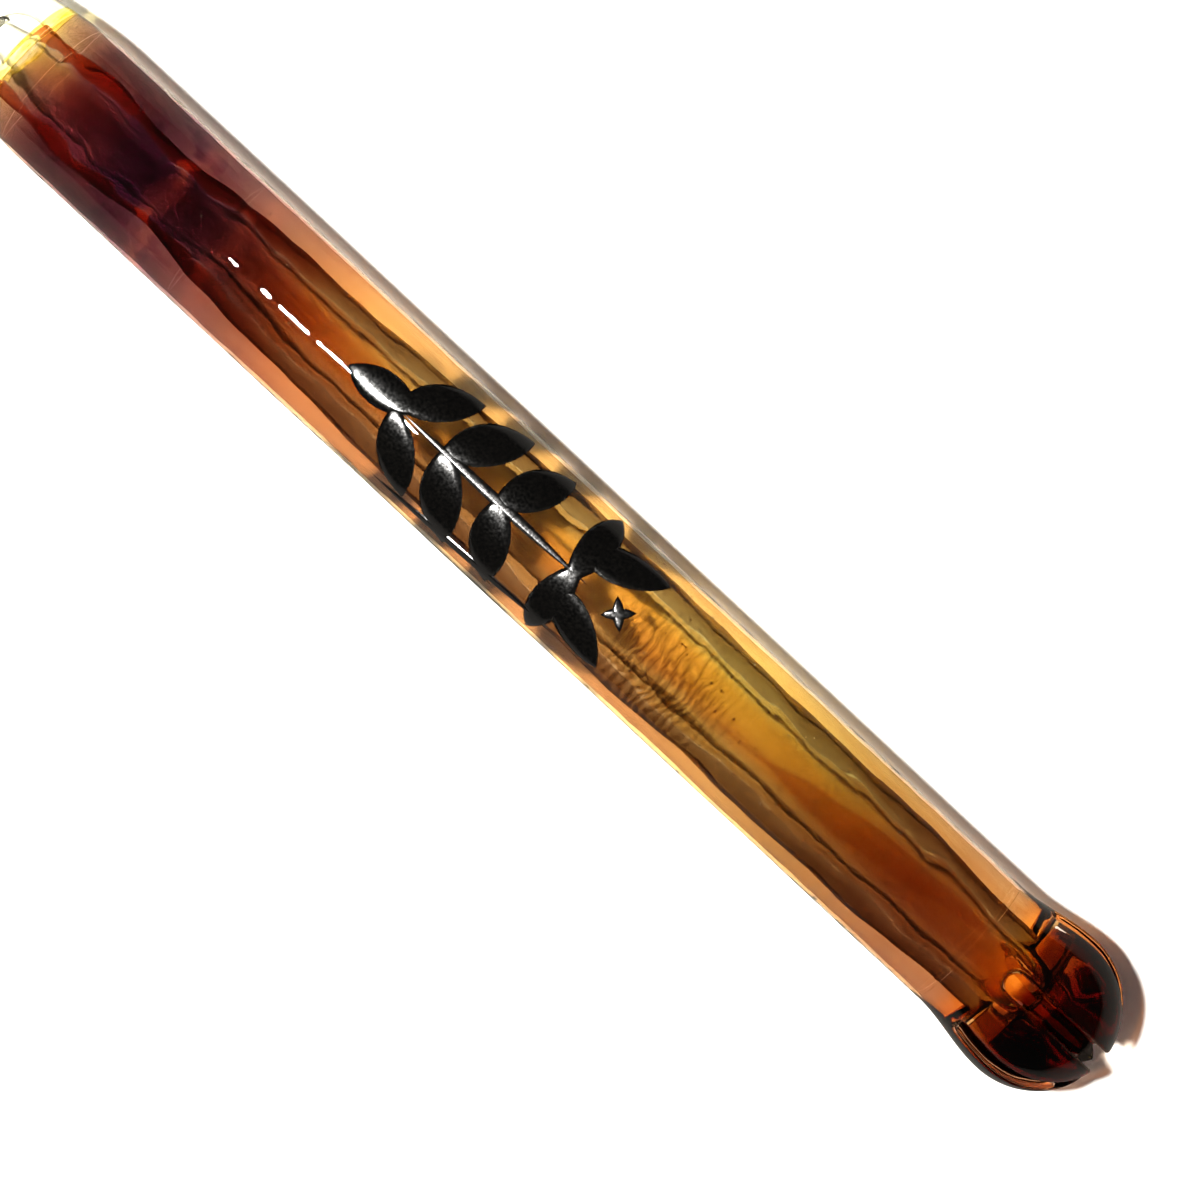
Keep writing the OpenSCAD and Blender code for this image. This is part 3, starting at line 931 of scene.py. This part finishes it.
def nib_tree():
    """Geometry Nodes for a twisted, ridged nib: a grid rolled round X, thinner and turned
    further towards its point."""
    tree, sockets, given = open_tree(
        "twisted_nib", Length="Float", Radius="Float", Point_radius="Float", Ridges="Int",
        Groove="Float", Turns="Float", Start="Vector", Rings="Int", Around="Int",
        Material="Material")

    grid = add(tree, "GeometryNodeMeshGrid", {
        "Size X": 1.0, "Size Y": 1.0, "Vertices X": given["Rings"], "Vertices Y": given["Around"]})
    xyz = add(tree, "ShaderNodeSeparateXYZ", {0: add(tree, "GeometryNodeInputPosition").outputs[0]})
    raw = add(tree, "ADD", (xyz.outputs["X"], 0.5))
    edge = add(tree, "DIVIDE", (1.0, add(tree, "SUBTRACT", (given["Rings"], 1.0))))
    # the first and last rings close the ends, so the ones next to them lie at the same stations
    open_part = add(tree, "SUBTRACT", (1.0, add(tree, "MULTIPLY", (edge, 2.0))))
    along = add(tree, "DIVIDE", (add(tree, "SUBTRACT", (raw, edge)), open_part), use_clamp=True)
    angle = add(tree, "MULTIPLY", (add(tree, "ADD", (xyz.outputs["Y"], 0.5)), 2 * math.pi))
    swell_at = 0.2
    swell = add(tree, "ShaderNodeMapRange", {
        "Value": along, "From Min": 0.0, "From Max": swell_at, "To Min": 0.84, "To Max": 1.0},
        interpolation_type="SMOOTHSTEP").outputs[0]
    run = add(tree, "DIVIDE", (add(tree, "SUBTRACT", (along, swell_at)), 1 - swell_at), use_clamp=True)
    thin = add(tree, "SUBTRACT", (1.0, add(tree, "POWER", (run, 1.6))))
    taper = add(tree, "SUBTRACT", (given["Radius"], given["Point_radius"]))
    body = add(tree, "MULTIPLY_ADD", (taper, thin, given["Point_radius"]))
    phase = add(tree, "MULTIPLY", (angle, add(tree, "MULTIPLY", (given["Ridges"], 0.5))))
    wave = add(tree, "ABSOLUTE", (add(tree, "COSINE", (phase,)),))
    valley = add(tree, "SUBTRACT", (1.0, add(tree, "POWER", (wave, 0.8))))
    ridge = add(tree, "SUBTRACT", (1.0, add(tree, "MULTIPLY", (given["Groove"], valley))))
    past_first = add(tree, "GREATER_THAN", (raw, add(tree, "MULTIPLY", (edge, 0.5))))
    before_last = add(tree, "LESS_THAN", (raw, add(tree, "MULTIPLY_ADD", (edge, -0.5, 1.0))))
    ridge = add(tree, "MULTIPLY", (ridge, add(tree, "MULTIPLY", (past_first, before_last))))
    radius = add(tree, "MULTIPLY", (add(tree, "MULTIPLY", (body, swell)), ridge))
    turn = add(tree, "MULTIPLY_ADD", (add(tree, "MULTIPLY", (along, given["Turns"])), 2 * math.pi, angle))
    rolled = add(tree, "ShaderNodeCombineXYZ", {
        "X": add(tree, "MULTIPLY", (along, add(tree, "MULTIPLY", (given["Length"], -1.0)))),
        "Y": add(tree, "MULTIPLY", (radius, add(tree, "SINE", (turn,)))),
        "Z": add(tree, "MULTIPLY", (radius, add(tree, "COSINE", (turn,))))})
    where = add(tree, "ShaderNodeVectorMath", {0: rolled.outputs[0], 1: given["Start"]}, operation="ADD")
    shaped = add(tree, "GeometryNodeSetPosition", {
        "Geometry": grid.outputs["Mesh"], "Position": where.outputs[0]})
    welded = add(tree, "GeometryNodeMergeByDistance", {
        "Geometry": shaped.outputs[0], "Distance": 1e-4 * MM})
    close_tree(tree, welded.outputs[0], given["Material"])
    return tree, sockets


def grown(name, tree, sockets, values):
    """Runs a Geometry Nodes tree with the given inputs and returns its result as a plain piece."""
    carrier = bpy.data.objects.new(name + "_carrier", bpy.data.meshes.new(name + "_carrier"))
    bpy.context.scene.collection.objects.link(carrier)
    modifier = carrier.modifiers.new(name, "NODES")
    modifier.node_group = tree
    for label, value in values.items():
        modifier[sockets[label]] = value
    piece = plain_mesh(carrier, name)
    piece.data.materials.clear()
    piece.data.materials.append(values["Material"])
    piece.data.polygons.foreach_set("material_index", [0] * len(piece.data.polygons))
    return piece


class GLASSPEN_OT_nib(bpy.types.Operator):
    """Twisted nib with ink grooves"""

    bl_idname = "glass_pen.nib"
    bl_label = "Nib"

    def execute(self, context):
        settings = context.scene.glass_pen
        tree, sockets = nib_tree()
        start = COLLAR_END + WELD_GAP
        nib = grown("nib_glass", tree, sockets, {
            "Length": (POINT - start) * MM, "Radius": NIB_R * MM, "Point_radius": POINT_R * MM,
            "Ridges": settings.ridges, "Groove": settings.groove, "Turns": settings.nib_turns,
            "Start": ((TIP - start) * MM, 0.0, AXIS_Z * MM), "Rings": 181,
            "Around": settings.ridges * 16 + 1, "Material": finish_of("clear")})
        if len(nib.data.polygons) < 1000:
            raise RuntimeError("the nib's tree gave no surface")
        shell = bmesh.new()
        shell.from_mesh(nib.data)
        bmesh.ops.recalc_face_normals(shell, faces=shell.faces)
        nib.data.materials.append(finish_of("weld"))
        for face in shell.faces:  # the flat end against the collar is welded
            if face.calc_center_median().x > (TIP - start - 1e-3) * MM:
                face.material_index = 1
        shell.to_mesh(nib.data)
        shell.free()
        smooth(nib.data, 50)
        placed(nib, "nib")
        return {"FINISHED"}


# ---- the print ----
LEAF_PAIRS = ((57.2, 8.6, 3.4, 24, 30), (66.8, 8, 3.6, 62, 28), (72.2, 8.8, 3.8, 55, 29),
              (77.4, 8, 3.4, 47, 27))  # station, length, width, tilt, angle round the barrel


def leaf_width(length, width):
    """Half the width of a pointed leaf, by distance from its middle."""
    r = (length * length + width * width) / (4 * width)
    return lambda x: math.sqrt(max(r * r - x * x, 0)) - (r - width / 2)


def stroke_width(length, width):
    return lambda x: width / 2 * math.cos(math.pi * x / length)


def mark(station, degrees, tilt, length, half_width):
    """Points and faces of one raised mark on the barrel, with thin rounded edges."""
    along, across = 36, 10
    turn, angle = math.radians(tilt), math.radians(degrees)
    points, faces = [], []
    for top in (False, True):
        base = len(points)
        for i in range(along + 1):
            x = length * (i / along - 0.5)
            for j in range(across + 1):
                v = 2 * j / across - 1
                y = v * max(half_width(x), 0.0)
                px, py = (x * math.cos(turn) - y * math.sin(turn),
                          x * math.sin(turn) + y * math.cos(turn))
                edge = max(1 - v ** 4, 0.0) * min(1.0, 4 * (1 - abs(2 * x / length)) + 1e-6)
                if i in (0, along):
                    edge = 0.0
                r = BARREL_R - 0.06 + ((PRINT + 0.06) * edge ** 0.5 if top else 0.0)
                points.append(spot(station - px, r, angle + math.asin(py / BARREL_R)))
        for i in range(along):
            for j in range(across):
                a = base + i * (across + 1) + j
                faces.append((a, a + 1, a + across + 2, a + across + 1))
    return points, faces


def print_piece(name, marks):
    points, faces = [], []
    for one in marks:
        more, sides = mark(*one)
        faces += [tuple(k + len(points) for k in face) for face in sides]
        points += more
    piece = mesh_object(name + "_enamel", points, faces, ["print"])
    placed(piece, name)
    return piece


class GLASSPEN_OT_print(bpy.types.Operator):
    """Leafy sprig of black enamel"""

    bl_idname = "glass_pen.print"
    bl_label = "Print"

    def execute(self, context):
        leaves = [(s, side * a, side * tilt, length, leaf_width(length, width))
                  for s, length, width, tilt, a in LEAF_PAIRS for side in (-1, 1)]
        leaves.append((81.7, 3, 8, 7, leaf_width(7, 3.2)))
        print_piece("print_leaves", leaves)
        print_piece("print_bar", [(60, side * 29, 90, 8.2, leaf_width(8.2, 3.1)) for side in (-1, 1)])
        print_piece("print_stem", [(68.8, 0, 0, 21, stroke_width(21, 1))])
        print_piece("print_star", [(55, 0, 45 + turn, 3, leaf_width(3, 1)) for turn in (0, 90)])
        print_piece("print_stroke", [(68, -54, 3, 20, stroke_width(20, 1))])
        return {"FINISHED"}


# ---- trapped seeds ----
def seed_tree():
    """Geometry Nodes that scatter small bubbles in the wall between two radii."""
    tree, sockets, given = open_tree(
        "wall_seeds", Count="Int", Seed="Int", Low_X="Float", High_X="Float", Inner="Float",
        Outer="Float", Axis_height="Float", Largest="Float", Material="Material")

    spans = ((given["Inner"], given["Outer"]), (0.0, 2 * math.pi),
             (given["Low_X"], given["High_X"]), (0.0, 1.0))
    radius, angle, along, chance = (
        add(tree, "FunctionNodeRandomValue", {
            2: low, 3: high, "Seed": add(tree, "ADD", (given["Seed"], draw))},
            data_type="FLOAT").outputs[1]
        for draw, (low, high) in enumerate(spans, 1))
    height = add(tree, "MULTIPLY_ADD", (radius, add(tree, "COSINE", (angle,)), given["Axis_height"]))
    where = add(tree, "ShaderNodeCombineXYZ", {
        "X": along, "Y": add(tree, "MULTIPLY", (radius, add(tree, "SINE", (angle,)))), "Z": height})
    points = add(tree, "GeometryNodePoints", {"Count": given["Count"], "Position": where.outputs[0]})
    ball = add(tree, "GeometryNodeMeshIcoSphere", {"Radius": given["Largest"], "Subdivisions": 2})
    size = add(tree, "MULTIPLY_ADD", (add(tree, "POWER", (chance, 3.0)), 0.75, 0.25))
    long = add(tree, "ShaderNodeCombineXYZ", {
        "X": add(tree, "MULTIPLY", (size, 1.5)), "Y": size, "Z": size})
    placed_seeds = add(tree, "GeometryNodeInstanceOnPoints", {
        "Points": points.outputs[0], "Instance": ball.outputs["Mesh"], "Scale": long.outputs[0]})
    close_tree(tree, placed_seeds.outputs[0], given["Material"])
    return tree, sockets


class GLASSPEN_OT_seeds(bpy.types.Operator):
    """Air seeds trapped in the barrel's wall"""

    bl_idname = "glass_pen.seeds"
    bl_label = "Seeds"

    def execute(self, context):
        settings = context.scene.glass_pen
        tree, sockets = seed_tree()
        largest = settings.seed_radius
        seeds = grown("wall_seeds", tree, sockets, {
            "Count": settings.seed_count, "Seed": 7,
            "Low_X": (TIP - SEAM_START + 2) * MM, "High_X": (TIP - BULB_LENGTH - 4) * MM,
            "Inner": LINING_R * MM + largest * 1.2, "Outer": (BARREL_R - 0.25) * MM - largest,
            "Axis_height": AXIS_Z * MM, "Largest": largest, "Material": finish_of("air")})
        smooth(seeds.data, 180)
        placed(seeds, None)
        return {"FINISHED"}


class GLASSPEN_PT_panel(bpy.types.Panel):
    """Lists the pen's settings and pieces"""

    bl_label = "Glass pen"
    bl_space_type = "VIEW_3D"
    bl_region_type = "UI"
    bl_category = "Glass pen"

    def draw(self, context):
        settings = context.scene.glass_pen
        for name in GlassPenSettings.__annotations__:
            self.layout.prop(settings, name)
        for operator in OPERATORS:
            self.layout.operator(operator.bl_idname)


OPERATORS = (GLASSPEN_OT_stage, GLASSPEN_OT_barrel, GLASSPEN_OT_bulb, GLASSPEN_OT_grip,
             GLASSPEN_OT_nib, GLASSPEN_OT_print, GLASSPEN_OT_seeds)
CLASSES = (GlassPenSettings, *OPERATORS, GLASSPEN_PT_panel)


def register():
    for one in CLASSES:
        bpy.utils.register_class(one)
    bpy.types.Scene.glass_pen = bpy.props.PointerProperty(type=GlassPenSettings)


def unregister():
    del bpy.types.Scene.glass_pen
    for one in reversed(CLASSES):
        bpy.utils.unregister_class(one)


def main():
    register()
    for operator in OPERATORS:
        getattr(bpy.ops.glass_pen, operator.bl_idname.split(".")[1])()


if __name__ == "__main__":
    main()
